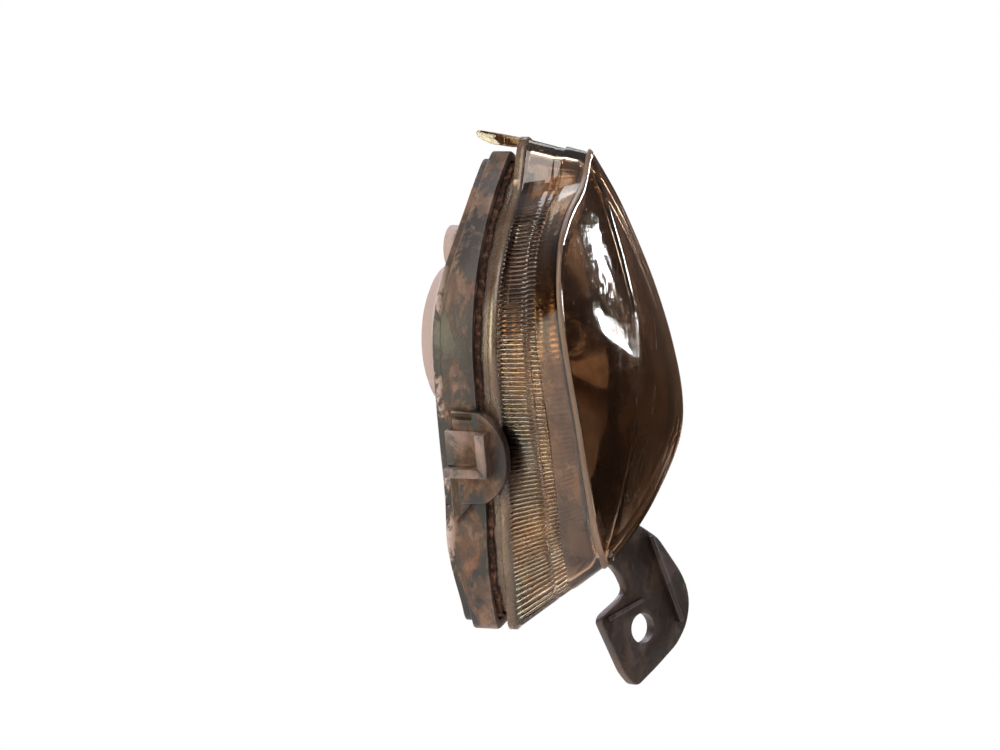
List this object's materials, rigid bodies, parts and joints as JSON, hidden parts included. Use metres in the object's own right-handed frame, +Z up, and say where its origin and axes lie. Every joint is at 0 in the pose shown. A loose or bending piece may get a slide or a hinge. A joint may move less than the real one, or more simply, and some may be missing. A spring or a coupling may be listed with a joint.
{
  "type": "fog light",
  "caption": "Leaf-shaped automotive fog lamp with a fluted wrap-round lens, chromed inner reflector, bayonet rear cap and moulded bolt ear.",
  "frame": {"origin": "seat of the bolt ear: a point on the flat back face of the moulded ear, above its bolt hole", "axes": "+Z up, -Y the way the lamp shines, +X towards the ear's side"},
  "size_m": [0.1078, 0.0581, 0.145],
  "materials": {
    "housing_plastic": "dusty moulded polypropylene",
    "lens_plastic": "clear polycarbonate gone yellow-brown",
    "sealant": "crumbling brown butyl",
    "chrome_trim": "vacuum metallised, slightly dulled",
    "zinc_steel": "zinc plated",
    "black_rubber": "matt",
    "white_acetal": "moulded",
    "bulb_glass": "clear quartz",
    "tungsten": "drawn wire",
    "brass": "pressed"
  },
  "bodies": {
    "lamp": {"housing": "housing_plastic", "lens": "lens_plastic", "sealant_bead": "sealant", "bezel": "chrome_trim", "bezel_screw_1": "zinc_steel", "bezel_screw_2": "zinc_steel", "bezel_screw_3": "zinc_steel", "bezel_screw_4": "zinc_steel", "vent_cap": "black_rubber", "pivot_stud_1": "white_acetal", "pivot_stud_2": "white_acetal", "adjuster_bush": "white_acetal", "adjuster_seal": "black_rubber"},
    "adjuster_screw": {"adjuster_screw": "zinc_steel", "adjuster_ring": "zinc_steel"},
    "adjuster_nut": {"adjuster_nut": "brass"},
    "reflector": {"reflector": "chrome_trim", "pivot_socket_1": "white_acetal", "pivot_socket_2": "white_acetal", "adjuster_socket": "white_acetal", "bulb_base": "zinc_steel", "bulb_capsule": "bulb_glass", "bulb_filament": "tungsten", "bulb_terminal_1": "brass", "bulb_terminal_2": "brass"},
    "bulb_clip": {"bulb_clip": "zinc_steel"},
    "rear_cap": {"rear_cap": "housing_plastic", "cap_seal": "black_rubber", "cap_grommet": "black_rubber"}
  },
  "joints": [
    {"name": "adjuster_turn", "type": "hinge", "parent": "lamp", "child": "adjuster_screw", "pos_m": [-0.06479, 0.02522, 0.0865], "axis": [0, 1, 0], "range_deg": [-330, 330]},
    {"name": "nut_slide", "type": "slide", "parent": "lamp", "child": "adjuster_nut", "axis": [0, 1, 0], "range_m": [-0.0014, 0.0014]},
    {"name": "reflector_tilt", "type": "hinge", "parent": "lamp", "child": "reflector", "pos_m": [-0.05229, 0.01982, 0.0315], "axis": [1, 0, 0], "range_deg": [-1.43, 1.43]},
    {"name": "bulb_clip_swing", "type": "hinge", "parent": "reflector", "child": "bulb_clip", "pos_m": [-0.06329, 0.02842, 0.064], "axis": [0, 0, 1], "range_deg": [0, 8]},
    {"name": "rear_cap_twist", "type": "hinge", "parent": "lamp", "child": "rear_cap", "pos_m": [-0.05229, 0.03422, 0.064], "axis": [0, 1, 0], "range_deg": [0, 60]}
  ],
  "couplings": [
    {"joint": "nut_slide", "follows": "reflector_tilt", "m_per_rad": -0.055},
    {"joint": "adjuster_turn", "follows": "reflector_tilt", "ratio": -230.38}
  ]
}
